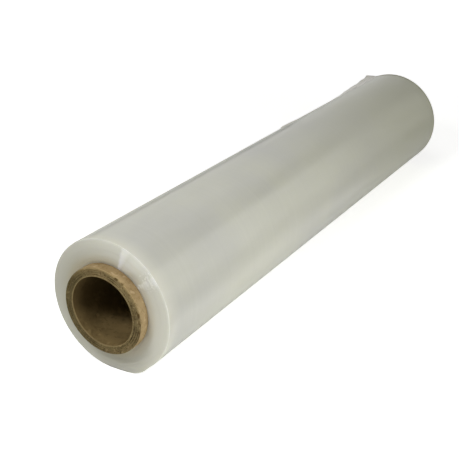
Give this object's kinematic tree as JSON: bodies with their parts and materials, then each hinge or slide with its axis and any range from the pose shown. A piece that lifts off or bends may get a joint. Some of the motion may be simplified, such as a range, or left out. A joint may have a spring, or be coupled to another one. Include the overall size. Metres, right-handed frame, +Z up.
{
  "type": "stretch wrap roll",
  "caption": "Roll of clear stretch wrap wound on a cardboard core whose ends show, lying on a small flat spot; its bore takes a dispenser's spindle or a pair of hand grips.",
  "frame": {"origin": "on the surface the roll lies on, below the middle of the roll, at the centre of its flat spot", "axes": "+X along the roll, away from the end nearest the camera in the picture; +Z up; +Y to the side where the film's tail lifts off"},
  "size_m": [0.5174, 0.099, 0.0985],
  "materials": {
    "clear_film": "glossy, milky translucent film in many turns",
    "core_board": "matt brown paperboard with plies showing at the cut ends"
  },
  "bodies": {
    "root": {"wound_film": "clear_film", "cardboard_core": "core_board"}
  },
  "joints": []
}
